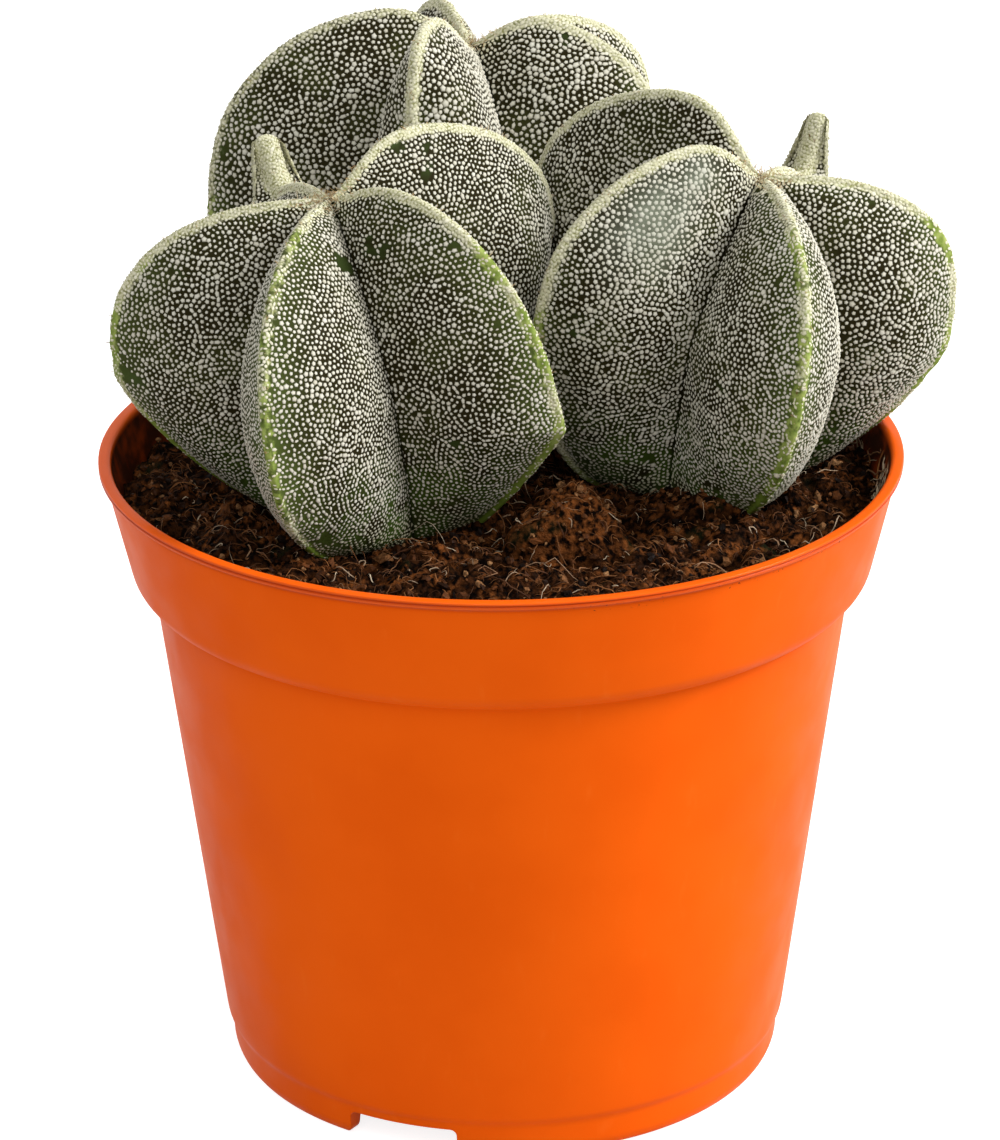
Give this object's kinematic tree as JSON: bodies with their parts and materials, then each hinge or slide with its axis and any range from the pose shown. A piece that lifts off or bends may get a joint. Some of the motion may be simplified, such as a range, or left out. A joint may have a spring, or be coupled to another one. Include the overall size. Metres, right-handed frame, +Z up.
{
  "type": "potted bishop's cap cactus",
  "caption": "Clustered five-ribbed bishop's cap cacti, flecked white, growing in soil in a round tapered orange plastic nursery pot with a collar and a notched foot.",
  "frame": {"origin": "on the pot's axis, on the flat middle of its underside, in the plane that it stands on", "axes": "+Z up along the pot's axis; -Y towards the two front plants' side; +X towards the right-hand front plant"},
  "size_m": [0.0908, 0.0922, 0.1092],
  "materials": {
    "pot_plastic": "satin orange polypropylene, slightly glossier on the lip",
    "soil": "matt dark brown peat and coir with pale fibres",
    "cactus_skin": "matt grey-green skin densely set with cream-white woolly flecks"
  },
  "bodies": {
    "root": {"pot": "pot_plastic", "soil": "soil", "cactus_front_left": "cactus_skin", "cactus_front_right": "cactus_skin", "cactus_back": "cactus_skin"}
  },
  "joints": []
}
